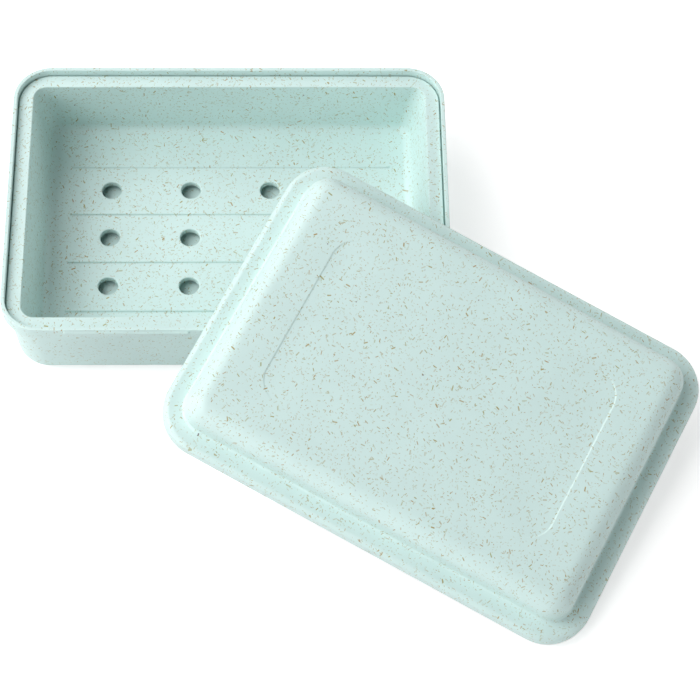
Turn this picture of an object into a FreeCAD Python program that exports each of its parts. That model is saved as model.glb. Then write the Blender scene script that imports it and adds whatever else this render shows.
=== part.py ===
import FreeCAD, Part
import math
import os

# A travel soap box in three moulded pieces: an outer tub, a drain tray that drops into it
# and a press-on lid that has been taken off and leans over the front right corner of the tub.
# Sizes are in millimetres, angles in degrees. The tub stands on z = 0 with its middle at the
# origin, its long side along x and its front towards -y.

# Tub
tub_length = 115.0
tub_depth = 82.0
tub_height = 25.0
rim_corner_radius = 10.0
rim_thickness = 1.05
rim_edge_round = 0.2
band_height = 3.8
band_step = 1.5
end_wall_lean = 1.3
long_wall_lean = 0.9
tub_wall = 1.0
tub_bottom_round = 4.5

# Snap beads on the outside of the band, two at the front and two at the back
bead_length = 32.0
bead_middle = 25.3
bead_height = 1.2
bead_proud = 0.5
bead_below_rim = 0.4

# Drain tray
tray_gap = 0.35
tray_below_rim = 1.9
tray_flange_width = 3.7
tray_flange_thickness = 1.2
tray_edge_round = 0.3
tray_mouth_radius = 3.5
tray_wall = 1.3
tray_end_lean = 3.4
tray_long_lean = 0.2
tray_floor_level = 4.3
tray_floor_thickness = 1.8
tray_floor_round = 2.2
hole_diameter = 5.3
hole_edge_round = 0.25
hole_columns = 4
hole_rows = 3
hole_column_pitch = 21.4
hole_row_pitch = 15.2
rib_length = 86.4
rib_width = 0.8
rib_height = 0.4

# Lid
lid_clearance = 0.3
lid_skirt = 1.3
lid_skirt_reach = 2.8
lid_wall = 1.5
lid_edge_round = 1.6
lid_shelf_width = 5.25
lid_rise = 9.0
lid_rise_lean = 0.5
lid_top_round = 5.0
panel_length = 80.0
panel_depth = 48.5
panel_corner_radius = 7.0
panel_sink = 0.25
panel_edge_slope = 0.5
groove_clearance = 0.2

# Largest share of a corner's radius that the round along its edge may take
round_share = 0.9

# How the lid leans: where its skirt crosses the front and right rims of the tub, how far its
# long side turns from the line between the two crossings, and the gap left under it
lean_front_crossing = -3.9
lean_right_crossing = -14.0
lean_turn = 51.6
lean_gap = 0.3

# Values that follow from the sizes above
band_bottom = tub_height - band_height
tray_top = tub_height - tray_below_rim
ledge_level = tray_top - tray_flange_thickness
tray_edge_inset = rim_thickness + tray_gap
tray_mouth_inset = tray_edge_inset + tray_flange_width
tray_underside = tray_floor_level - tray_floor_thickness
lid_overhang = lid_clearance + lid_skirt
lid_length = tub_length + 2 * lid_overhang
lid_depth = tub_depth + 2 * lid_overhang
lid_corner_radius = rim_corner_radius + lid_overhang
skirt_bottom = -(lid_wall + lid_skirt_reach)


def outline(half_x, half_y, radius, level):
    """Closed wire of a rectangle with round corners, level with the xy plane."""
    flat_x = half_x - radius
    flat_y = half_y - radius
    middles = ((flat_x, flat_y), (-flat_x, flat_y), (-flat_x, -flat_y), (flat_x, -flat_y))

    def corner_point(quarter, share):
        angle = (quarter + share) * math.pi / 2
        x, y = middles[quarter]
        return FreeCAD.Vector(x + radius * math.cos(angle), y + radius * math.sin(angle), level)

    edges = []
    for quarter in range(4):
        start, halfway, end = [corner_point(quarter, share) for share in (0, 0.5, 1)]
        edges.append(Part.Arc(start, halfway, end).toShape())
        edges.append(Part.makeLine(end, corner_point((quarter + 1) % 4, 0)))
    return Part.Wire(edges)


def block(half_x, half_y, radius, bottom, top):
    """Upright solid on a rounded rectangle."""
    face = Part.Face(outline(half_x, half_y, radius, bottom))
    return face.extrude(FreeCAD.Vector(0, 0, top - bottom))


def leaning_block(lower, upper):
    """Solid with straight leaning sides between two rounded rectangles."""
    return Part.makeLoft([outline(*lower), outline(*upper)], True, True)


def level_edges(shape, level):
    """Edges of a shape that lie wholly at one level."""
    near = 1e-4
    found = []
    for edge in shape.Edges:
        box = edge.BoundBox
        if abs(box.ZMin - level) < near and abs(box.ZMax - level) < near:
            found.append(edge)
    return found


def tub_section(level, inset):
    """Outline of the tub wall at a level, moved inwards by an inset."""
    fall = 1 - level / band_bottom
    half_x = tub_length / 2 - band_step - end_wall_lean * fall - inset
    half_y = tub_depth / 2 - band_step - long_wall_lean * fall - inset
    return half_x, half_y, rim_corner_radius - band_step - inset, level


def bar_along_x(radius, length, middle):
    """A round bar along x with ball ends."""
    straight = length - 2 * radius
    start = middle - FreeCAD.Vector(straight / 2, 0, 0)
    end = middle + FreeCAD.Vector(straight / 2, 0, 0)
    bar = Part.makeCylinder(radius, straight, start, FreeCAD.Vector(1, 0, 0))
    return bar.fuse([Part.makeSphere(radius, start), Part.makeSphere(radius, end)])


def snap_bead(side, end):
    """One bead on the band: side is +1 at the back and -1 at the front, end is +1 at the right.

    It is a round bar sunk in the band until only its proud part, as tall as the bead, shows.
    """
    radius = (bead_height ** 2 / 4 + bead_proud ** 2) / (2 * bead_proud)
    y = tub_depth / 2 + bead_proud - radius
    z = tub_height - bead_below_rim - bead_height / 2
    return bar_along_x(radius, bead_length, FreeCAD.Vector(end * bead_middle, side * y, z))


def make_base_tub():
    body = leaning_block(tub_section(0, 0), tub_section(band_bottom, 0))
    body = body.makeFillet(tub_bottom_round, level_edges(body, 0))
    band = block(tub_length / 2, tub_depth / 2, rim_corner_radius, band_bottom, tub_height)
    inside_x = tub_length / 2 - rim_thickness
    inside_y = tub_depth / 2 - rim_thickness
    mouth = block(inside_x, inside_y, rim_corner_radius - rim_thickness, ledge_level, tub_height)
    hollow = leaning_block(tub_section(tub_wall, tub_wall), tub_section(ledge_level, tub_wall))
    hollow = hollow.makeFillet(tub_bottom_round - tub_wall, level_edges(hollow, tub_wall))
    tub = body.fuse(band).cut(mouth).cut(hollow).removeSplitter()
    tub = tub.makeFillet(rim_edge_round, level_edges(tub, tub_height))
    for side in (1, -1):
        for end in (1, -1):
            tub = tub.fuse(snap_bead(side, end))
    return tub


def tray_section(level, inset):
    """Outline of the tray's hollow at a level, moved inwards by an inset."""
    fall = (tray_top - level) / (tray_top - tray_floor_level)
    half_x = tub_length / 2 - tray_mouth_inset - tray_end_lean * fall - inset
    half_y = tub_depth / 2 - tray_mouth_inset - tray_long_lean * fall - inset
    return half_x, half_y, tray_mouth_radius - inset, level


def floor_rib(y):
    """One low straight rib with round ends, standing on the floor of the tray."""
    root = tray_floor_level - tray_floor_thickness / 2
    rise = tray_floor_level + rib_height - root
    half = (rib_length - rib_width) / 2
    rib = Part.makeBox(2 * half, rib_width, rise, FreeCAD.Vector(-half, y - rib_width / 2, root))
    for x in (-half, half):
        rib = rib.fuse(Part.makeCylinder(rib_width / 2, rise, FreeCAD.Vector(x, y, root)))
    return rib.removeSplitter()


def drain_holes():
    """The upright cylinders that pierce the floor, in rows and columns about its middle."""
    holes = []
    for column in range(hole_columns):
        x = (column - (hole_columns - 1) / 2) * hole_column_pitch
        for row in range(hole_rows):
            y = (row - (hole_rows - 1) / 2) * hole_row_pitch
            foot = FreeCAD.Vector(x, y, tray_underside - tray_wall)
            holes.append(Part.makeCylinder(hole_diameter / 2, tray_floor_thickness + 2 * tray_wall, foot))
    return holes


def hole_rims(tray):
    """The round edges where the drain holes meet the floor."""
    rims = []
    for edge in level_edges(tray, tray_floor_level):
        if abs(edge.BoundBox.XLength - hole_diameter) < 1e-3:
            rims.append(edge)
    return rims


def make_drain_tray():
    edge_x = tub_length / 2 - tray_edge_inset
    edge_y = tub_depth / 2 - tray_edge_inset
    flange = block(edge_x, edge_y, rim_corner_radius - tray_edge_inset, ledge_level, tray_top)
    bowl = leaning_block(tray_section(tray_underside, -tray_wall), tray_section(ledge_level, -tray_wall))
    bowl = bowl.makeFillet(tray_floor_round + tray_wall, level_edges(bowl, tray_underside))
    hollow = leaning_block(tray_section(tray_floor_level, 0), tray_section(tray_top, 0))
    hollow = hollow.makeFillet(tray_floor_round, level_edges(hollow, tray_floor_level))
    tray = flange.fuse(bowl).cut(hollow).removeSplitter()
    tray = tray.makeFillet(tray_edge_round, level_edges(tray, tray_top))
    for hole in drain_holes():
        tray = tray.cut(hole)
    tray = tray.makeFillet(hole_edge_round, hole_rims(tray))
    for row in range(hole_rows + 1):
        tray = tray.fuse(floor_rib((row - hole_rows / 2) * hole_row_pitch))
    return tray


def lid_section(level, inset):
    """Outline of the lid, moved inwards by an inset."""
    return lid_length / 2 - inset, lid_depth / 2 - inset, lid_corner_radius - inset, level


def lid_shell(offset):
    """The raised middle of the lid, made smaller by the offset for its hollow."""
    foot = lid_shelf_width + offset
    crown = foot + lid_rise_lean
    top = lid_rise - offset
    raised = leaning_block(lid_section(-offset, foot), lid_section(top, crown))
    edge_round = min(lid_top_round - offset, round_share * (lid_corner_radius - crown))
    return raised.makeFillet(edge_round, level_edges(raised, top))


def make_flat_lid():
    """The lid lying level, with the top of its shelf at z = 0."""
    shelf = block(*lid_section(skirt_bottom, 0), 0)
    shelf = shelf.makeFillet(lid_edge_round, level_edges(shelf, 0))
    lid = shelf.fuse(lid_shell(0)).removeSplitter()
    panel_floor = (panel_length / 2 - panel_edge_slope, panel_depth / 2 - panel_edge_slope,
                   panel_corner_radius - panel_edge_slope, lid_rise - panel_sink)
    panel_mouth = (panel_length / 2, panel_depth / 2, panel_corner_radius, lid_rise)
    lid = lid.cut(leaning_block(panel_floor, panel_mouth))
    lid = lid.cut(block(*lid_section(skirt_bottom, lid_skirt), -lid_wall))
    lid = lid.cut(lid_shell(lid_wall))
    return lid.cut(snap_groove()).removeSplitter()


def snap_groove():
    """The band cut into the inside of the skirt that takes the beads when the lid is shut."""
    reach = bead_proud + groove_clearance - lid_clearance
    bead_top = -lid_wall - bead_below_rim
    top = bead_top + groove_clearance
    bottom = bead_top - bead_height - groove_clearance
    return block(*lid_section(bottom, lid_skirt - reach), top)


def lean(lid):
    """Lays the level lid on the tub's front and right rims and its near corner above the table."""
    front = FreeCAD.Vector(lean_front_crossing, -tub_depth / 2, tub_height + lean_gap)
    right = FreeCAD.Vector(tub_length / 2, lean_right_crossing, tub_height + lean_gap)
    across = right - front
    span = across.Length
    across.normalize()
    # In the plane under the skirt, the first number runs along the crossings, the second downhill
    turn = math.radians(lean_turn)
    along_x = (math.cos(turn), math.sin(turn))
    along_y = (math.sin(turn), -math.cos(turn))
    from_left = lid_length / 2 - lid_skirt
    from_back = span * along_y[0] - (lid_depth / 2 - lid_skirt)
    corner_x = from_left + lid_length / 2 - lid_corner_radius
    corner_y = from_back - lid_depth / 2 + lid_corner_radius
    reach = corner_x * along_x[1] + corner_y * along_y[1] + lid_corner_radius
    tilt = math.asin(tub_height / reach)
    downhill = FreeCAD.Vector(across.y * math.cos(tilt), -across.x * math.cos(tilt), -math.sin(tilt))
    x_axis = across * along_x[0] + downhill * along_x[1]
    y_axis = across * along_y[0] + downhill * along_y[1]
    z_axis = x_axis.cross(y_axis)
    middle = front + x_axis * from_left + y_axis * from_back - z_axis * skirt_bottom
    matrix = FreeCAD.Matrix(x_axis.x, y_axis.x, z_axis.x, middle.x,
                            x_axis.y, y_axis.y, z_axis.y, middle.y,
                            x_axis.z, y_axis.z, z_axis.z, middle.z)
    return lid.transformed(matrix)


def make_lid():
    return lean(make_flat_lid())


makers = {"base_tub": make_base_tub, "drain_tray": make_drain_tray, "lid": make_lid}
os.makedirs("parts", exist_ok=True)
for node, maker in makers.items():
    piece = maker()
    if not piece.isValid() or len(piece.Solids) != 1:
        raise ValueError(node + " is not one sound solid")
    piece.Solids[0].exportStep("parts/" + node + ".step")
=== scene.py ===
import math

import bpy
import numpy as np
from mathutils import Matrix, Vector


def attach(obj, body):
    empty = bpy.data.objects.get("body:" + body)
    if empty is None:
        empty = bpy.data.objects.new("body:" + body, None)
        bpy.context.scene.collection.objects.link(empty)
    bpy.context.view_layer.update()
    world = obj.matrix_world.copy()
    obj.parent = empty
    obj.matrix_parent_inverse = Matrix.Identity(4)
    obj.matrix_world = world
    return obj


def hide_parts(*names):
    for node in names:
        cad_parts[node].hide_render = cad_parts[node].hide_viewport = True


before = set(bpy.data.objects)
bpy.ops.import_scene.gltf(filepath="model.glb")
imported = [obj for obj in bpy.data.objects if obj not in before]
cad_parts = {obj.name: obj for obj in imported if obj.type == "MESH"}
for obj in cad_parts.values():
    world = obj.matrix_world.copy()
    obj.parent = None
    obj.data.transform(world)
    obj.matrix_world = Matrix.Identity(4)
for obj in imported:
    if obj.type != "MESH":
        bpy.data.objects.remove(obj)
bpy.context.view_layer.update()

bl_info = {
    "name": "Travel soap box",
    "version": (1, 0, 0),
    "blender": (4, 5, 0),
    "location": "3D View > Sidebar > Soap box",
    "description": "Tub, drain tray and leaning lid of a straw-flecked travel soap box, and its studio",
    "category": "Object",
}

MM = 0.001

# Steps in the round of an edge, and how far past the round the next row of points lies
EDGE_STEPS = 5
BIG_ROUND_STEPS = 12
EDGE_SUPPORT = 1.12
CORNER_STEPS = 20
PANEL_STEPS = 8

# Where the lamps point, between the tub and the lid
LAMP_AIM = Vector((0.03, -0.03, 0.01))

# Half the width of the floor, and how far it lies below the table's level, in metres
FLOOR_HALF = 0.7
FLOOR_DROP = 0.05 * MM

# Points closer than this are one point
WELD_GRID = 1e-7


# Values that a user would change


def length(label, text, millimetres):
    """A length kept in metres, with its default given in millimetres."""
    return bpy.props.FloatProperty(
        name=label, description=text, default=millimetres * MM, unit="LENGTH", precision=4)


def colour(label, text, red, green, blue):
    return bpy.props.FloatVectorProperty(
        name=label, description=text, default=(red, green, blue), subtype="COLOR", size=3, min=0, max=1)


def share(label, text, value):
    return bpy.props.FloatProperty(
        name=label, description=text, default=value, subtype="FACTOR", min=0, max=1)


def watts(label, text, value):
    return bpy.props.FloatProperty(name=label, description=text, default=value, unit="POWER", min=0)


class TubSizes(bpy.types.PropertyGroup):
    long_side: length("Length", "Outside of the rim, end to end", 115.0)
    depth: length("Depth", "Outside of the rim, front to back", 82.0)
    height: length("Height", "Table to the top of the rim", 25.0)
    corner: length("Rim corner", "Radius of the rim's corners", 10.0)
    rim: length("Rim thickness", "Thickness of the upright rim", 1.05)
    rim_round: length("Rim round", "Round along the top of the rim", 0.2)
    band: length("Band height", "Height of the band round the rim", 3.8)
    band_step: length("Band step", "How far the band stands out from the wall", 1.5)
    end_lean: length("End lean", "How far each end wall leans in at the foot", 1.3)
    long_lean: length("Long lean", "How far each long wall leans in at the foot", 0.9)
    wall: length("Wall", "Thickness of the wall and the floor", 1.0)
    bottom_round: length("Bottom round", "Round along the foot of the wall", 4.5)
    fine_round: length("Fine edges", "Round along the edges of the band and the ledge", 0.22)


class BeadSizes(bpy.types.PropertyGroup):
    long_side: length("Length", "One bead, end to end", 32.0)
    middle: length("Middle", "Middle of a bead from the middle of the tub", 25.3)
    height: length("Height", "Height of a bead on the band", 1.2)
    proud: length("Proud", "How far a bead stands out from the band", 0.5)
    below_rim: length("Below rim", "Top of the rim down to a bead", 0.4)


class TraySizes(bpy.types.PropertyGroup):
    gap: length("Gap", "Gap between the rim and the flange", 0.35)
    below_rim: length("Below rim", "Top of the rim down to the flange", 1.9)
    flange: length("Flange width", "Width of the flat flange", 3.7)
    flange_thickness: length("Flange thickness", "Thickness of the flange", 1.2)
    edge_round: length("Edge round", "Round along the edges of the flange", 0.3)
    mouth_corner: length("Mouth corner", "Radius of the corners of the tray's hollow", 3.5)
    wall: length("Wall", "Thickness of the wall", 1.3)
    end_lean: length("End lean", "How far each end wall leans in at the floor", 3.4)
    long_lean: length("Long lean", "How far each long wall leans in at the floor", 0.2)
    floor: length("Floor level", "Table to the top of the tray's floor", 4.3)
    floor_thickness: length("Floor thickness", "Thickness of the tray's floor", 1.8)
    floor_round: length("Floor round", "Round between the floor and the wall", 2.2)
    hole: length("Hole diameter", "Width of a drain hole", 5.3)
    hole_round: length("Hole round", "Round along the mouth of a hole", 0.3)
    column_pitch: length("Column pitch", "Hole to hole along the tray", 21.4)
    row_pitch: length("Row pitch", "Hole to hole across the tray", 15.2)
    columns: bpy.props.IntProperty(name="Columns", description="Holes along the tray", default=4, min=1)
    rows: bpy.props.IntProperty(name="Rows", description="Holes across the tray", default=3, min=1)
    rib_long: length("Rib length", "One rib, end to end", 86.4)
    rib_width: length("Rib width", "Width of a rib", 0.8)
    rib_height: length("Rib height", "Height of a rib above the floor", 0.4)


class LidSizes(bpy.types.PropertyGroup):
    clearance: length("Clearance", "Gap between the rim and the shut lid's skirt", 0.3)
    skirt: length("Skirt", "Thickness of the skirt", 1.3)
    skirt_reach: length("Skirt reach", "How far the shut lid's skirt reaches below the rim", 2.8)
    wall: length("Wall", "Thickness of the top and the shelf", 1.5)
    edge_round: length("Edge round", "Round along the outer edge", 1.6)
    shelf: length("Shelf width", "Outer edge to the foot of the raised middle", 5.25)
    rise: length("Rise", "Height of the raised middle above the shelf", 9.0)
    rise_lean: length("Rise lean", "How far the side of the raised middle leans in", 0.5)
    top_round: length("Top round", "Round along the top of the raised middle", 5.0)
    foot_round: length("Foot round", "Soft hollow where the raised middle meets the shelf", 0.7)
    panel_long: length("Panel length", "Sunk panel, end to end", 80.0)
    panel_depth: length("Panel depth", "Sunk panel, front to back", 48.5)
    panel_corner: length("Panel corner", "Radius of the panel's corners", 7.0)
    panel_sink: length("Panel sink", "How far the panel lies below the top", 0.2)
    panel_slope: length("Panel slope", "Width of the panel's sloping edge", 0.55)
    groove_clearance: length("Groove clearance", "Room round a bead in the snap groove", 0.2)
    fine_round: length("Fine edges", "Round along the edges of the skirt and the groove", 0.25)
    front_crossing: length("Front crossing", "Where the skirt crosses the tub's front rim, along it", -3.9)
    right_crossing: length("Right crossing", "Where the skirt crosses the tub's right rim, along it", -14.0)
    lean_gap: length("Lean gap", "Gap under the leaning lid", 0.3)
    turn: bpy.props.FloatProperty(
        name="Turn", description="Turn of the long side from the line between the two crossings",
        default=math.radians(51.6), subtype="ANGLE", unit="ROTATION")


class StrawFinish(bpy.types.PropertyGroup):
    mint: colour("Mint", "Colour of the plastic", 0.65, 0.83, 0.805)
    straw: colour("Straw", "Colour of the pale straw", 0.32, 0.33, 0.08)
    husk: colour("Husk", "Colour of the darker straw", 0.36, 0.21, 0.02)
    speck: colour("Speck", "Colour of the few dark specks", 0.10, 0.07, 0.09)
    roughness: share("Roughness", "Roughness of the moulded skin", 0.42)
    tub_straw: share("Tub straw", "How much of the straw shows in the tub", 0.625)
    tray_straw: share("Tray straw", "How much of the straw shows in the tray", 1.0)
    lid_straw: share("Lid straw", "How much of the straw shows in the lid", 0.9167)


class StudioSettings(bpy.types.PropertyGroup):
    floor: colour("Floor", "Colour of the floor", 0.84, 0.84, 0.84)
    floor_glow: share("Floor glow", "White that the camera sees added to the floor", 0.55)
    mirror: share("Mirrored white", "Share of the white surroundings that the plastic mirrors", 0.4)
    key: watts("Key light", "Power of the big soft lamp at the left; the others follow it", 6.8)
    reach: length("Lamp distance", "Distance of the lamps from the object", 1200.0)
    lamp: length("Lamp size", "Width of a round lamp", 700.0)


# Surfaces


def round_path(side_x, side_y, corner_steps):
    """Path round a rectangle with round corners, counter-clockwise from its right end.

    It gives four arrays, across, up, out_x and out_y. A point of a ring with half length a, half
    depth b and corner radius r is ((a - r) across + r out_x, (b - r) up + r out_y): on a corner the
    first pair is fixed and the second turns, and along a side the first runs from -1 to 1.
    """
    angle = np.linspace(0, math.pi / 2, corner_steps + 1)
    parts = []
    for quarter, (sign_x, sign_y) in enumerate(((1, 1), (-1, 1), (-1, -1), (1, -1))):
        turn = angle + quarter * math.pi / 2
        parts.append(np.stack([np.full_like(turn, sign_x), np.full_like(turn, sign_y),
                               np.cos(turn), np.sin(turn)]))
        if quarter % 2 == 0:
            side = np.stack([-sign_y * side_x, np.full_like(side_x, sign_y),
                             np.zeros_like(side_x), np.full_like(side_x, sign_y)])
        else:
            side = np.stack([np.full_like(side_y, sign_x), sign_x * side_y,
                             np.full_like(side_y, sign_x), np.zeros_like(side_y)])
        parts.append(side)
    return np.concatenate(parts, axis=1)


def even_side(steps):
    """Even stops along a side, without its two ends."""
    return np.linspace(-1, 1, steps + 1)[1:-1]


def ring_grid(rings, path):
    """Grid of points, a row for each ring (half length, half depth, corner radius, level)."""
    half_x, half_y, radius, level = np.asarray(rings, float).T[:, :, None]
    across, up, out_x, out_y = path
    x = (half_x - radius) * across + radius * out_x
    y = (half_y - radius) * up + radius * out_y
    return np.stack([x, y, np.broadcast_to(level, x.shape)], axis=-1)


def inset(ring, distance):
    """A ring moved inwards at its own level, so its corner radius shrinks as much as its sides."""
    return ring - distance * np.array([1, 1, 1, 0])


def soften(corners):
    """Rounds off a profile of (ring, round, steps) and gives its rows of rings.

    A rounded corner becomes a quarter of an ellipse that touches both neighbours, corner +
    round (1 - sin a) back + round (1 - cos a) ahead, with a from 0 to a right angle. Back and ahead
    are steps of one unit towards the neighbours. One row more on each side keeps the flats flat.
    """
    rings = [np.asarray(ring, float) for ring, _, _ in corners]
    rows = []
    for place, (_, round_size, steps) in enumerate(corners):
        corner = rings[place]
        if round_size == 0:
            rows.append(corner[None])
            continue
        back = rings[place - 1] - corner
        ahead = rings[place + 1] - corner
        back = back / np.abs(back).max()
        ahead = ahead / np.abs(ahead).max()
        a = np.linspace(0, math.pi / 2, steps + 1)[:, None]
        arc = corner + round_size * ((1 - np.sin(a)) * back + (1 - np.cos(a)) * ahead)
        support = EDGE_SUPPORT * round_size
        rows.append(np.concatenate([[corner + support * back], arc, [corner + support * ahead]]))
    return np.concatenate(rows)


def loop_quads(rows, columns):
    """Quads of a grid whose rows close on themselves, facing the side where rows x columns points."""
    here = np.arange(rows * columns).reshape(rows, columns)
    after = np.roll(here, -1, axis=1)
    return np.stack([here[:-1], here[1:], after[1:], after[:-1]], axis=-1).reshape(-1, 4)


def weld(points, quads):
    """Makes one point of the points that coincide, and triangles of the quads that lose a corner."""
    key = np.round(points / WELD_GRID).astype(np.int64)
    _, first, place = np.unique(key, axis=0, return_index=True, return_inverse=True)
    quads = place.reshape(-1)[quads]
    a, b, c, d = quads.T
    whole = (a != b) & (b != c) & (c != d) & (d != a) & (a != c) & (b != d)
    broken = quads[~whole]
    triangles = np.concatenate([broken[:, [0, 1, 2]], broken[:, [0, 2, 3]]])
    a, b, c = triangles.T
    triangles = triangles[(a != b) & (b != c) & (c != a)]
    return points[first], quads[whole].tolist() + triangles.tolist()


def add_piece(name, points, quads, material, body, node):
    """Puts a welded surface into the scene as a piece that rides on a body and replaces a node."""
    points, faces = weld(points, quads)
    mesh = bpy.data.meshes.new(name)
    mesh.from_pydata(points, [], faces)
    mesh.polygons.foreach_set("use_smooth", np.ones(len(mesh.polygons), bool))
    mesh.materials.append(material)
    mesh.update()
    piece = bpy.data.objects.new(name, mesh)
    bpy.context.scene.collection.objects.link(piece)
    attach(piece, body)
    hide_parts(node)
    return piece


# Tub


def tub_ring(tub, level, distance):
    """Ring of the tub's wall at a level, moved in from the rim's outside and by the wall's lean."""
    fall = max(0.0, 1 - level / (tub.height - tub.band))
    return np.array([tub.long_side / 2 - distance - tub.end_lean * fall,
                     tub.depth / 2 - distance - tub.long_lean * fall,
                     tub.corner - distance, level])


def rim_ring(tub, level, distance):
    """Ring of the upright rim at a level, moved in from its outside."""
    return np.array([tub.long_side / 2 - distance, tub.depth / 2 - distance, tub.corner - distance, level])


def bead_height(bead, tub, x, level):
    """How far the beads stand out: the part of a round bar with ball ends that clears the band."""
    radius = (bead.height ** 2 / 4 + bead.proud ** 2) / (2 * bead.proud)
    straight = bead.long_side / 2 - radius
    past_end = np.maximum(0, np.abs(np.abs(x) - bead.middle) - straight)
    off_axis = level - (tub.height - bead.below_rim - bead.height / 2)
    reach = np.maximum(0, radius ** 2 - past_end ** 2 - off_axis ** 2)
    return np.maximum(0, np.sqrt(reach) - (radius - bead.proud))


def bead_stops(bead, half_side):
    """Stops along the tub's long side, close together at the ends of the beads."""
    close = np.linspace(-0.2, 0.9, 12) * bead.height
    ends = np.array([[bead.middle - bead.long_side / 2], [bead.middle + bead.long_side / 2]])
    inward = np.array([[1], [-1]])
    stops = (ends + inward * close).ravel()
    stops = np.concatenate([stops, -stops, np.linspace(-half_side, half_side, 33)[1:-1]])
    return np.unique(np.round(stops / half_side, 6))


def tub_surface(tub, bead, ledge):
    """One closed profile carried round the tub: inner floor, wall, ledge, rim, band, outer wall, foot."""
    fine = tub.fine_round
    band_bottom = tub.height - tub.band
    inner = tub.band_step + tub.wall
    inner_round = tub.bottom_round - tub.wall
    floor_ring = tub_ring(tub, tub.wall, inner)
    foot_ring = tub_ring(tub, 0, tub.band_step)
    bead_low = tub.height - bead.below_rim - bead.height
    band_levels = bead_low + bead.height * np.linspace(1.0, -0.04, 14)
    corners = [
        ((0, 0, 0, tub.wall), 0, 0),
        (inset(floor_ring, 1.4 * inner_round), 0, 0),
        (floor_ring, inner_round, BIG_ROUND_STEPS),
        (tub_ring(tub, ledge, inner), fine, EDGE_STEPS),
        (rim_ring(tub, ledge, tub.rim), fine, EDGE_STEPS),
        (rim_ring(tub, tub.height, tub.rim), tub.rim_round, EDGE_STEPS),
        (rim_ring(tub, tub.height, 0), tub.rim_round, EDGE_STEPS),
    ]
    corners += [(rim_ring(tub, level, 0), 0, 0) for level in band_levels]
    corners += [
        (rim_ring(tub, band_bottom, 0), fine, EDGE_STEPS),
        (rim_ring(tub, band_bottom, tub.band_step), fine, EDGE_STEPS),
        (foot_ring, tub.bottom_round, BIG_ROUND_STEPS),
        (inset(foot_ring, 1.4 * tub.bottom_round), 0, 0),
        ((0, 0, 0, 0), 0, 0),
    ]
    path = round_path(bead_stops(bead, tub.long_side / 2 - tub.corner), even_side(20), CORNER_STEPS)
    points = ring_grid(soften(corners), path)
    on_band = np.abs(np.abs(points[..., 1]) - tub.depth / 2) < WELD_GRID
    out_y = np.broadcast_to(path[3], on_band.shape)
    proud = bead_height(bead, tub, points[..., 0], points[..., 2])
    points[..., 1] += np.where(on_band, out_y * proud, 0)
    rows, columns = points.shape[:2]
    return points.reshape(-1, 3), loop_quads(rows, columns)


# Drain tray


def tray_ring(tub, tray, level, distance):
    """Ring of the tray's hollow at a level, moved inwards by a distance."""
    mouth = tub.rim + tray.gap + tray.flange
    top = tub.height - tray.below_rim
    fall = (top - level) / (top - tray.floor)
    return np.array([tub.long_side / 2 - mouth - tray.end_lean * fall - distance,
                     tub.depth / 2 - mouth - tray.long_lean * fall - distance,
                     tray.mouth_corner - distance, level])


def rib_rise(tray, x, y):
    """Height of the ribs: full within a line's half width, then a smooth step down to the floor."""
    lines = (np.arange(tray.rows + 1) - tray.rows / 2) * tray.row_pitch
    past_end = np.maximum(0, np.abs(x) - (tray.rib_long - tray.rib_width) / 2)
    off_line = np.min(np.abs(y[..., None] - lines), axis=-1)
    reach = np.hypot(past_end, off_line) / (tray.rib_width / 2)
    fall = np.clip((1.12 - reach) / 0.5, 0, 1)
    return tray.rib_height * fall * fall * (3 - 2 * fall)


def rib_offsets(tray):
    """Distances from a rib's middle line at which the floor has rows of points."""
    return tray.rib_width / 2 * np.array([0, 0.3, 0.6, 0.75, 0.9, 1.0, 1.12, 1.6])


def across_ribs(tray):
    """Stops across one cell of the floor, close together at the ribs along its two long edges."""
    near_rib = 1 - rib_offsets(tray)[1:] / (tray.row_pitch / 2)
    return np.unique(np.concatenate([even_side(8), near_rib, -near_rib]))


def hole_cell(tray, stops_x):
    """One cell of the floor with its hole, from its lower edge through the hole to its upper edge.

    Outer rows are rectangles. Inner rows are circles at the same angles, and rows between them are
    mixed from the nearest rectangle and circle.
    """
    under = tray.floor - tray.floor_thickness
    path = round_path(even_side(stops_x), across_ribs(tray), 0)
    offsets = rib_offsets(tray)
    half_x, half_y = tray.column_pitch / 2, tray.row_pitch / 2
    edge = ring_grid([(half_x - d, half_y - d, 0, 0) for d in offsets], path)[..., :2]
    angle = np.arctan2(edge[0, :, 1], edge[0, :, 0])
    circle = np.stack([np.cos(angle), np.sin(angle)], axis=-1)
    radius = tray.hole / 2
    lip = tray.hole_round
    a = np.linspace(0, math.pi / 2, EDGE_STEPS + 1)
    lower = np.stack([radius + lip * (1 - np.sin(a)), under + lip * (1 - np.cos(a))])
    upper = np.stack([radius + lip * (1 - np.cos(a)), tray.floor - lip * (1 - np.sin(a))])
    wide = np.array([[radius + EDGE_SUPPORT * lip], [under]])
    wide_top = np.array([[radius + EDGE_SUPPORT * lip], [tray.floor]])
    radii, levels = np.concatenate([wide, lower, upper, wide_top], axis=1)
    hole = np.concatenate([radii[:, None, None] * circle,
                           np.broadcast_to(levels[:, None, None], (len(levels), len(angle), 1))], axis=-1)
    mix = np.linspace(0, 1, 7)[1:-1, None, None]
    spread = (1 - mix) * hole[-1, :, :2] + mix * edge[-1]
    flat = np.concatenate([spread, edge[::-1]])
    flat = np.concatenate([flat, np.full(flat.shape[:2] + (1,), tray.floor)], axis=-1)
    foot = np.concatenate([edge[0], np.full((len(angle), 1), under)], axis=-1)[None]
    return np.concatenate([foot, hole, flat])


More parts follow.
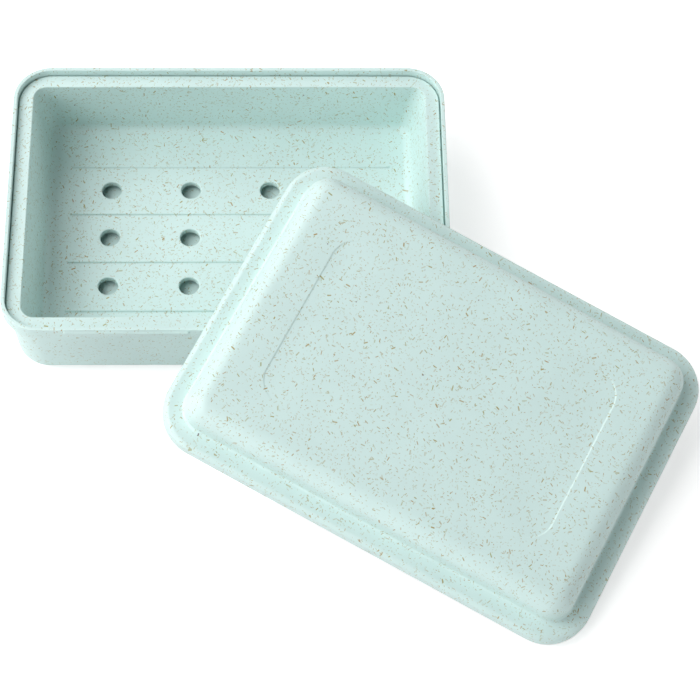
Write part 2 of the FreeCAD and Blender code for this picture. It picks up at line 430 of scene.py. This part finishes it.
def tray_surface(tub, tray):
    """A profile carried round the flange and walls, joined to a floor of twelve cells with holes."""
    top = tub.height - tray.below_rim
    ledge = top - tray.flange_thickness
    under = tray.floor - tray.floor_thickness
    edge_inset = tub.rim + tray.gap
    stops_x = 10
    half_x = tray.columns * tray.column_pitch / 2
    half_y = tray.rows * tray.row_pitch / 2
    floor_ring = tray_ring(tub, tray, tray.floor, 0)
    under_ring = tray_ring(tub, tray, under, -tray.wall)
    outer_round = tray.floor_round + tray.wall
    fine = tub.fine_round
    corners = [((half_x + d, half_y + d, d, tray.floor), 0, 0) for d in rib_offsets(tray)]
    corners += [
        (inset(floor_ring, 1.3 * tray.floor_round), 0, 0),
        (floor_ring, tray.floor_round, BIG_ROUND_STEPS),
        (tray_ring(tub, tray, top, 0), tray.edge_round, EDGE_STEPS),
        (rim_ring(tub, top, edge_inset), tray.edge_round, EDGE_STEPS),
        (rim_ring(tub, ledge, edge_inset), fine, EDGE_STEPS),
        (tray_ring(tub, tray, ledge, -tray.wall), fine, EDGE_STEPS),
        (under_ring, outer_round, BIG_ROUND_STEPS),
        (inset(under_ring, 1.25 * outer_round), 0, 0),
        ((half_x, half_y, 0, under), 0, 0),
    ]
    columns = (np.arange(tray.columns) - (tray.columns - 1) / 2) * tray.column_pitch
    rows = (np.arange(tray.rows) - (tray.rows - 1) / 2) * tray.row_pitch
    in_cell = np.append(across_ribs(tray), 1) * tray.row_pitch / 2
    stops_y = (rows[:, None] + in_cell).ravel()[:-1] / half_y
    path = round_path(even_side(tray.columns * stops_x), stops_y, CORNER_STEPS)
    walls = ring_grid(soften(corners), path)
    cell = hole_cell(tray, stops_x)
    middles = np.stack(np.meshgrid(columns, rows, [0.0], indexing="ij"), axis=-1).reshape(-1, 1, 1, 3)
    cells = cell + middles
    wall_quads = loop_quads(*walls.shape[:2])
    cell_quads = loop_quads(*cell.shape[:2])
    first = walls[..., 0].size + np.arange(len(cells)) * cell[..., 0].size
    quads = np.concatenate([wall_quads, (cell_quads + first[:, None, None]).reshape(-1, 4)])
    points = np.concatenate([walls.reshape(-1, 3), cells.reshape(-1, 3)])
    on_floor = np.abs(points[:, 2] - tray.floor) < WELD_GRID
    points[:, 2] += np.where(on_floor, rib_rise(tray, points[:, 0], points[:, 1]), 0)
    return points, quads


# Lid


def lid_ring(tub, lid, level, distance):
    """Ring of the lid at a level above its shelf, moved in from its outer edge."""
    over = lid.clearance + lid.skirt - distance
    return np.array([tub.long_side / 2 + over, tub.depth / 2 + over, tub.corner + over, level])


def lean_matrix(tub, lid):
    """Lays the level lid on the tub's front and right rims, with its near corner just off the table.

    The plane under the skirt passes through the two crossings and tips downhill until the far round
    corner of the skirt comes down by the tub's height.
    """
    level = tub.height + lid.lean_gap
    front = Vector((lid.front_crossing, -tub.depth / 2, level))
    right = Vector((tub.long_side / 2, lid.right_crossing, level))
    across = right - front
    span = across.length
    across.normalize()
    along_x = (math.cos(lid.turn), math.sin(lid.turn))
    along_y = (math.sin(lid.turn), -math.cos(lid.turn))
    half_x, half_y, radius, _ = lid_ring(tub, lid, 0, 0)
    from_left = half_x - lid.skirt
    from_back = span * along_y[0] - (half_y - lid.skirt)
    corner_x = from_left + half_x - radius
    corner_y = from_back - half_y + radius
    reach = corner_x * along_x[1] + corner_y * along_y[1] + radius
    tilt = math.asin(tub.height / reach)
    downhill = Vector((across.y * math.cos(tilt), -across.x * math.cos(tilt), -math.sin(tilt)))
    x_axis = across * along_x[0] + downhill * along_x[1]
    y_axis = across * along_y[0] + downhill * along_y[1]
    z_axis = x_axis.cross(y_axis)
    middle = front + x_axis * from_left + y_axis * from_back + z_axis * (lid.wall + lid.skirt_reach)
    return np.array([x_axis, y_axis, z_axis]), np.array(middle)


def panel_grid(lid, path):
    """Rows of the sunk panel, from its middle to its mouth, a rectangle with round corners.

    From the mouth the surface steps down across the slope's width by sink |outward x|, on the curve
    3 t^2 - 2 t^3, so the step is crisp at the two ends and runs out round the corners. From the foot of
    the step the points shrink to the middle by a share r, and the depth there is the foot's depth times
    r^2 and half the sink times 1 - r^2.
    """
    _, _, out_x, out_y = path
    mouth = ring_grid([(lid.panel_long / 2, lid.panel_depth / 2, lid.panel_corner, 0)], path)
    foot_depth = lid.panel_sink * np.abs(out_x)
    t = np.linspace(1, 0, PANEL_STEPS + 1)[:, None]
    step = mouth + np.stack([-lid.panel_slope * t * out_x, -lid.panel_slope * t * out_y,
                             -foot_depth * t * t * (3 - 2 * t)], axis=-1)
    r = np.linspace(0, 1, PANEL_STEPS + 1)[:-1, None]
    floor = np.stack([r * step[0, :, 0], r * step[0, :, 1],
                      -foot_depth * r * r - lid.panel_sink / 2 * (1 - r * r)], axis=-1)
    return np.concatenate([floor, step]) + np.array([0, 0, lid.rise])


def lid_surface(tub, bead, lid):
    """A sunk panel, and a profile carried round the lid from there: top, rise, shelf, skirt and hollow."""
    fine = lid.fine_round
    skirt_bottom = -(lid.wall + lid.skirt_reach)
    crown_inset = lid.shelf + lid.rise_lean
    crown = lid_ring(tub, lid, lid.rise, crown_inset)
    hollow_top = lid.rise - lid.wall
    hollow_crown = lid_ring(tub, lid, hollow_top, crown_inset + lid.wall)
    hollow_round = lid.top_round - lid.wall
    groove_depth = bead.proud + lid.groove_clearance - lid.clearance
    groove_top = -lid.wall - bead.below_rim + lid.groove_clearance
    groove_bottom = groove_top - bead.height - 2 * lid.groove_clearance
    groove_round = 0.3 * groove_depth
    corners = [
        (inset(crown, 1.15 * lid.top_round), 0, 0),
        (crown, lid.top_round, BIG_ROUND_STEPS),
        (lid_ring(tub, lid, 0, lid.shelf), lid.foot_round, EDGE_STEPS),
        (lid_ring(tub, lid, 0, 0), lid.edge_round, BIG_ROUND_STEPS),
        (lid_ring(tub, lid, skirt_bottom, 0), fine, EDGE_STEPS),
        (lid_ring(tub, lid, skirt_bottom, lid.skirt), fine, EDGE_STEPS),
        (lid_ring(tub, lid, groove_bottom, lid.skirt), groove_round, EDGE_STEPS),
        (lid_ring(tub, lid, groove_bottom, lid.skirt - groove_depth), groove_round, EDGE_STEPS),
        (lid_ring(tub, lid, groove_top, lid.skirt - groove_depth), groove_round, EDGE_STEPS),
        (lid_ring(tub, lid, groove_top, lid.skirt), 0.5 * groove_round, EDGE_STEPS),
        (lid_ring(tub, lid, -lid.wall, lid.skirt), 0.5 * groove_round, EDGE_STEPS),
        (lid_ring(tub, lid, -lid.wall, lid.shelf + lid.wall), fine, EDGE_STEPS),
        (hollow_crown, hollow_round, BIG_ROUND_STEPS),
        (inset(hollow_crown, 1.15 * hollow_round), 0, 0),
        ((0, 0, 0, hollow_top), 0, 0),
    ]
    path = round_path(even_side(40), even_side(28), CORNER_STEPS)
    points = np.concatenate([panel_grid(lid, path), ring_grid(soften(corners), path)])
    axes, middle = lean_matrix(tub, lid)
    return points.reshape(-1, 3) @ axes + middle, loop_quads(*points.shape[:2])


# Straw-flecked plastic


def add_node(tree, kind, label, **settings):
    """A node with its label and settings, and values or links for the inputs that are named."""
    node = tree.nodes.new(kind)
    node.label = label
    node.name = label
    inputs = settings.pop("inputs", {})
    for key, value in settings.items():
        setattr(node, key, value)
    for key, value in inputs.items():
        if isinstance(value, bpy.types.NodeSocket):
            tree.links.new(value, node.inputs[key])
        else:
            node.inputs[key].default_value = value
    return node


def arithmetic(tree, label, operation, first, second=None, third=None):
    inputs = {i: v for i, v in enumerate((first, second, third)) if v is not None}
    return add_node(tree, "ShaderNodeMath", label, operation=operation, inputs=inputs).outputs[0]


def vector_step(tree, label, operation, first, second=None, scale=None):
    inputs = {i: v for i, v in enumerate((first, second)) if v is not None}
    if scale is not None:
        inputs["Scale"] = scale
    node = add_node(tree, "ShaderNodeVectorMath", label, operation=operation, inputs=inputs)
    return node.outputs["Value" if operation in ("DOT_PRODUCT", "LENGTH") else "Vector"]


def along_surface(tree, label, vector, normal):
    """The part of a vector that lies along the surface: the vector less its share of the normal."""
    amount = vector_step(tree, label + " off surface", "DOT_PRODUCT", vector, normal)
    lift = vector_step(tree, label + " lift", "SCALE", normal, scale=amount)
    return vector_step(tree, label, "SUBTRACT", vector, lift), amount


def straw_group():
    """Node group for one size of straw: a short dash in some cells of a Voronoi pattern.

    Each cell's dash is centred on the cell's point, laid along the surface in a direction of its own,
    and drawn as the points nearer than a half width to a line of its own length.
    """
    tree = bpy.data.node_groups.new("Straw dashes", "ShaderNodeTree")
    for name, kind in (("Place", "NodeSocketVector"), ("Normal", "NodeSocketVector"),
                       ("Cells per metre", "NodeSocketFloat"), ("Shift", "NodeSocketVector"),
                       ("Share", "NodeSocketFloat"), ("Half length", "NodeSocketFloat"),
                       ("Half width", "NodeSocketFloat")):
        tree.interface.new_socket(name, in_out="INPUT", socket_type=kind)
    for name in ("Dash", "Tint"):
        tree.interface.new_socket(name, in_out="OUTPUT", socket_type="NodeSocketFloat")
    given = add_node(tree, "NodeGroupInput", "Given").outputs
    scaled = vector_step(tree, "Cells", "SCALE", given["Place"], scale=given["Cells per metre"])
    place = vector_step(tree, "Shifted cells", "ADD", scaled, given["Shift"])
    cells = add_node(tree, "ShaderNodeTexVoronoi", "Straw cells", inputs={"Vector": place, "Scale": 1.0})
    own = add_node(tree, "ShaderNodeTexWhiteNoise", "Own numbers",
                   inputs={"Vector": cells.outputs["Position"]})
    numbers = add_node(tree, "ShaderNodeSeparateColor", "Own parts", inputs={0: own.outputs["Color"]}).outputs
    offset = vector_step(tree, "From cell point", "SUBTRACT", place, cells.outputs["Position"])
    flat_offset, depth = along_surface(tree, "Offset", offset, given["Normal"])
    middle = (0.5, 0.5, 0.5)
    any_way = vector_step(tree, "Any direction", "SUBTRACT", cells.outputs["Color"], middle)
    flat_way, _ = along_surface(tree, "Direction", any_way, given["Normal"])
    way = vector_step(tree, "Unit direction", "NORMALIZE", flat_way)
    run = vector_step(tree, "Run", "DOT_PRODUCT", flat_offset, way)
    beside = vector_step(tree, "Beside", "SUBTRACT", flat_offset,
                         vector_step(tree, "Run vector", "SCALE", way, scale=run))
    aside = vector_step(tree, "Aside", "LENGTH", beside)
    longer = arithmetic(tree, "Own length", "MULTIPLY_ADD", numbers["Red"], 0.8, 0.4)
    half = arithmetic(tree, "Dash half", "MULTIPLY", longer, given["Half length"])
    past = arithmetic(tree, "Past end", "MAXIMUM",
                      arithmetic(tree, "Over end", "SUBTRACT",
                                 arithmetic(tree, "Run length", "ABSOLUTE", run), half), 0.0)
    bend = arithmetic(tree, "Squares", "MULTIPLY_ADD", past, past,
                      arithmetic(tree, "Aside square", "MULTIPLY", aside, aside))
    away = arithmetic(tree, "Away", "SQRT", bend)
    dash = add_node(tree, "ShaderNodeMapRange", "Dash edge", interpolation_type="SMOOTHSTEP",
                    inputs={"Value": away, "From Min": given["Half width"],
                            "From Max": arithmetic(tree, "Soft edge", "MULTIPLY", given["Half width"], 0.4),
                            "To Min": 0.0, "To Max": 1.0}).outputs[0]
    near = arithmetic(tree, "Near surface", "LESS_THAN", arithmetic(tree, "Depth", "ABSOLUTE", depth), 0.33)
    chosen = arithmetic(tree, "Chosen", "LESS_THAN", own.outputs["Value"], given["Share"])
    shown = arithmetic(tree, "Shown", "MULTIPLY", arithmetic(tree, "Here", "MULTIPLY", near, chosen), dash)
    rare = arithmetic(tree, "Rarely strong", "MULTIPLY", numbers["Blue"], numbers["Blue"])
    faint = arithmetic(tree, "Own strength", "MULTIPLY_ADD", rare, 0.75, 0.25)
    out = add_node(tree, "NodeGroupOutput", "Given back")
    tree.links.new(arithmetic(tree, "Strength", "MULTIPLY", shown, faint), out.inputs["Dash"])
    tree.links.new(numbers["Green"], out.inputs["Tint"])
    return tree


# Straw in four sizes: cell size, half length and half width in millimetres, share of the cells that hold one
STRAW_LAYERS = (
    ("Dust", 0.90, 0.20, 0.095, 0.90),
    ("Fine straw", 1.3, 0.40, 0.12, 0.48),
    ("Straw", 2.1, 0.55, 0.16, 0.60),
    ("Husk", 4.0, 0.60, 0.23, 0.60),
)


def mix_colour(tree, label, factor, first, second):
    node = add_node(tree, "ShaderNodeMix", label, data_type="RGBA",
                    inputs={0: factor, 6: first, 7: second})
    return node.outputs[2]


def straw_plastic(name, finish, amount):
    """Pale mint plastic filled with straw, with a fine moulded skin. Amount scales how much straw shows."""
    group = bpy.data.node_groups.get("Straw dashes") or straw_group()
    material = bpy.data.materials.new(name)
    material.use_nodes = True
    tree = material.node_tree
    tree.nodes.clear()
    coordinates = add_node(tree, "ShaderNodeTexCoord", "Coordinates").outputs
    place = coordinates["Object"]
    mint = (*finish.mint, 1)
    deeper = (*(0.97 * c for c in finish.mint), 1)
    cloud = add_node(tree, "ShaderNodeTexNoise", "Cloud",
                     inputs={"Vector": place, "Scale": 90.0, "Detail": 4.0}).outputs[0]
    grain = add_node(tree, "ShaderNodeTexNoise", "Grain",
                     inputs={"Vector": place, "Scale": 2200.0, "Detail": 2.0}).outputs[0]
    blotch = add_node(tree, "ShaderNodeMapRange", "Blotches",
                      inputs={"Value": cloud, "From Min": 0.35, "From Max": 0.65}).outputs[0]
    skin = mix_colour(tree, "Clouded mint", blotch, mint, deeper)
    height = arithmetic(tree, "Skin height", "MULTIPLY", grain, 0.4)
    roughness = arithmetic(tree, "Grain roughness", "MULTIPLY_ADD", grain, 0.16, finish.roughness - 0.08)
    for place_in_row, (label, cell, half_long, half_wide, portion) in enumerate(STRAW_LAYERS):
        layer = add_node(tree, "ShaderNodeGroup", label, node_tree=group)
        tree.links.new(place, layer.inputs["Place"])
        tree.links.new(coordinates["Normal"], layer.inputs["Normal"])
        layer.inputs["Cells per metre"].default_value = 1 / (cell * MM)
        layer.inputs["Shift"].default_value = (3.1 * place_in_row, 1.7 * place_in_row, 5.3 * place_in_row)
        layer.inputs["Share"].default_value = portion * amount
        layer.inputs["Half length"].default_value = half_long / cell
        layer.inputs["Half width"].default_value = half_wide / cell
        tint = mix_colour(tree, label + " tint", layer.outputs["Tint"],
                          (*finish.straw, 1), (*finish.husk, 1))
        skin = mix_colour(tree, label + " on mint", layer.outputs["Dash"], skin, tint)
        height = arithmetic(tree, label + " height", "MULTIPLY_ADD", layer.outputs["Dash"], -0.5, height)
        roughness = arithmetic(tree, label + " roughness", "MULTIPLY_ADD",
                               layer.outputs["Dash"], 0.1, roughness)
    speck = add_node(tree, "ShaderNodeGroup", "Speck", node_tree=group,
                     inputs={"Place": place, "Normal": coordinates["Normal"], "Cells per metre": 1 / (6 * MM),
                             "Shift": (9.2, 4.1, 7.7), "Share": 0.144 * amount, "Half length": 0.02,
                             "Half width": 0.035})
    skin = mix_colour(tree, "Specks on mint", speck.outputs["Dash"], skin, (*finish.speck, 1))
    bump = add_node(tree, "ShaderNodeBump", "Skin bump",
                    inputs={"Strength": 0.25, "Distance": 0.03 * MM, "Height": height}).outputs[0]
    shader = add_node(tree, "ShaderNodeBsdfPrincipled", "Moulded plastic",
                      inputs={"Base Color": skin, "Roughness": roughness, "Normal": bump})
    shader.inputs["IOR"].default_value = 1.5
    out = add_node(tree, "ShaderNodeOutputMaterial", "Surface")
    tree.links.new(shader.outputs[0], out.inputs["Surface"])
    return material


# Operators


class SOAPBOX_OT_base_tub(bpy.types.Operator):
    """Outer tub with its rim, band, snap beads and ledge"""
    bl_idname = "soapbox.base_tub"
    bl_label = "Base tub"

    def execute(self, context):
        scene = context.scene
        tub, tray = scene.soapbox_tub, scene.soapbox_tray
        ledge = tub.height - tray.below_rim - tray.flange_thickness
        points, quads = tub_surface(tub, scene.soapbox_bead, ledge)
        finish = scene.soapbox_finish
        plastic = straw_plastic("tub_straw_plastic", finish, finish.tub_straw)
        add_piece("tub_shell", points, quads, plastic, "tub", "base_tub")
        return {"FINISHED"}


class SOAPBOX_OT_drain_tray(bpy.types.Operator):
    """Drain tray with its flange, ribs and holes"""
    bl_idname = "soapbox.drain_tray"
    bl_label = "Drain tray"

    def execute(self, context):
        scene = context.scene
        points, quads = tray_surface(scene.soapbox_tub, scene.soapbox_tray)
        finish = scene.soapbox_finish
        plastic = straw_plastic("tray_straw_plastic", finish, finish.tray_straw)
        add_piece("tray_shell", points, quads, plastic, "tray", "drain_tray")
        return {"FINISHED"}


class SOAPBOX_OT_lid(bpy.types.Operator):
    """Lid with its raised middle, sunk panel and skirt, leaning over the tub's corner"""
    bl_idname = "soapbox.lid"
    bl_label = "Lid"

    def execute(self, context):
        scene = context.scene
        points, quads = lid_surface(scene.soapbox_tub, scene.soapbox_bead, scene.soapbox_lid)
        finish = scene.soapbox_finish
        plastic = straw_plastic("lid_straw_plastic", finish, finish.lid_straw)
        add_piece("lid_shell", points, quads, plastic, "cover", "lid")
        return {"FINISHED"}


def add_camera(scene):
    """Camera at the photograph's place, aimed with its roll about the line of sight."""
    turn, height, roll = (math.radians(a) for a in (2.9818, 59.9782, -2.4319))
    aim = Vector((31.758, -32.453, 0.0)) * MM
    distance = 623.454 * MM
    level = math.cos(height)
    forward = Vector((math.sin(turn) * level, math.cos(turn) * level, -math.sin(height)))
    right = Vector((math.cos(turn), -math.sin(turn), 0.0))
    down = forward.cross(right)
    right_rolled = math.cos(roll) * right + math.sin(roll) * down
    down_rolled = -math.sin(roll) * right + math.cos(roll) * down
    data = bpy.data.cameras.new("camera")
    data.sensor_width = 36.0
    data.lens = 2368.83 / 700 * data.sensor_width
    data.clip_start = 0.05
    data.clip_end = 20.0
    camera = bpy.data.objects.new("camera", data)
    turned = Matrix((right_rolled, -down_rolled, -forward)).transposed().to_4x4()
    camera.matrix_world = Matrix.Translation(aim - distance * forward) @ turned
    scene.collection.objects.link(camera)
    scene.camera = camera


# Soft lamps round the object: name, direction from the right end towards the back, height, share of the key
LAMPS = (
    ("left_key", 180, 40, 1.0),
    ("left_overhead", 180, 65, 0.58),
    ("back_left", 135, 40, 0.56),
    ("front_left", 225, 40, 0.33),
    ("low_front_left", 225, 15, 0.50),
    ("low_front_right", 315, 15, 0.48),
    ("low_back_right", 45, 15, 0.42),
    ("back", 90, 40, 0.22),
    ("low_right", 0, 15, 0.21),
)


def add_lamp(scene, studio, name, direction, height, portion):
    """A round soft lamp at a direction and height in degrees, turned to the object."""
    data = bpy.data.lights.new(name, "AREA")
    data.energy = portion * studio.key
    data.shape = "DISK"
    data.size = studio.lamp
    turn, lift = math.radians(direction), math.radians(height)
    towards = Vector((math.cos(turn) * math.cos(lift), math.sin(turn) * math.cos(lift), math.sin(lift)))
    lamp = bpy.data.objects.new(name, data)
    lamp.location = LAMP_AIM + studio.reach * towards
    lamp.rotation_euler = (-towards).to_track_quat("-Z", "Y").to_euler()
    scene.collection.objects.link(lamp)


def seen_ray(tree, mirror):
    """1 on rays from the camera, a share on rays that a glossy skin mirrors, 0 on rays that give light."""
    path = add_node(tree, "ShaderNodeLightPath", "Ray").outputs
    mirrored = arithmetic(tree, "Mirrored", "MULTIPLY", path["Is Glossy Ray"], mirror)
    straight = arithmetic(tree, "Camera or gloss", "MAXIMUM", path["Is Camera Ray"], mirrored)
    return arithmetic(tree, "Seen", "MAXIMUM", straight, path["Is Transmission Ray"])


class SOAPBOX_OT_studio(bpy.types.Operator):
    """Pale floor, soft lamps and the camera"""
    bl_idname = "soapbox.studio"
    bl_label = "Studio"

    def execute(self, context):
        scene = context.scene
        studio = scene.soapbox_studio
        scene.view_settings.view_transform = "Standard"
        corners = [(x * FLOOR_HALF, y * FLOOR_HALF, -FLOOR_DROP)
                   for x, y in ((-1, -1), (1, -1), (1, 1), (-1, 1))]
        mesh = bpy.data.meshes.new("floor")
        mesh.from_pydata(corners, [], [(0, 1, 2, 3)])
        material = bpy.data.materials.new("pale_floor")
        material.use_nodes = True
        tree = material.node_tree
        tree.nodes.clear()
        matte = add_node(tree, "ShaderNodeBsdfDiffuse", "Matte floor", inputs={"Color": (*studio.floor, 1)})
        seen = seen_ray(tree, studio.mirror)
        seen_glow = arithmetic(tree, "Seen glow", "MULTIPLY", seen, studio.floor_glow)
        glow = add_node(tree, "ShaderNodeEmission", "Floor glow", inputs={"Strength": seen_glow})
        both = add_node(tree, "ShaderNodeAddShader", "Floor",
                        inputs={0: matte.outputs[0], 1: glow.outputs[0]})
        out = add_node(tree, "ShaderNodeOutputMaterial", "Surface")
        tree.links.new(both.outputs[0], out.inputs["Surface"])
        mesh.materials.append(material)
        floor = bpy.data.objects.new("floor", mesh)
        scene.collection.objects.link(floor)
        world = bpy.data.worlds.new("studio")
        scene.world = world
        world.use_nodes = True
        tree = world.node_tree
        tree.nodes.clear()
        seen = seen_ray(tree, studio.mirror)
        sky = add_node(tree, "ShaderNodeBackground", "Sky", inputs={"Strength": seen})
        sky.inputs["Color"].default_value = (1, 1, 1, 1)
        out = add_node(tree, "ShaderNodeOutputWorld", "World")
        tree.links.new(sky.outputs[0], out.inputs["Surface"])
        for lamp in LAMPS:
            add_lamp(scene, studio, *lamp)
        add_camera(scene)
        return {"FINISHED"}


class SOAPBOX_PT_panel(bpy.types.Panel):
    """The soap box's pieces and sizes"""
    bl_idname = "SOAPBOX_PT_panel"
    bl_label = "Soap box"
    bl_space_type = "VIEW_3D"
    bl_region_type = "UI"
    bl_category = "Soap box"

    def draw(self, context):
        for operator in OPERATORS:
            self.layout.operator(operator.bl_idname)
        for name, group in GROUPS.items():
            column = self.layout.column()
            values = getattr(context.scene, name)
            for key in group.__annotations__:
                column.prop(values, key)


GROUPS = {
    "soapbox_tub": TubSizes,
    "soapbox_bead": BeadSizes,
    "soapbox_tray": TraySizes,
    "soapbox_lid": LidSizes,
    "soapbox_finish": StrawFinish,
    "soapbox_studio": StudioSettings,
}
OPERATORS = (SOAPBOX_OT_base_tub, SOAPBOX_OT_drain_tray, SOAPBOX_OT_lid, SOAPBOX_OT_studio)


def register():
    for name, group in GROUPS.items():
        bpy.utils.register_class(group)
        setattr(bpy.types.Scene, name, bpy.props.PointerProperty(type=group))
    for cls in (*OPERATORS, SOAPBOX_PT_panel):
        bpy.utils.register_class(cls)


def unregister():
    for cls in (SOAPBOX_PT_panel, *reversed(OPERATORS)):
        bpy.utils.unregister_class(cls)
    for name, group in reversed(GROUPS.items()):
        delattr(bpy.types.Scene, name)
        bpy.utils.unregister_class(group)


def main():
    register()
    bpy.ops.soapbox.base_tub()
    bpy.ops.soapbox.drain_tray()
    bpy.ops.soapbox.lid()
    bpy.ops.soapbox.studio()


if __name__ == "__main__":
    main()
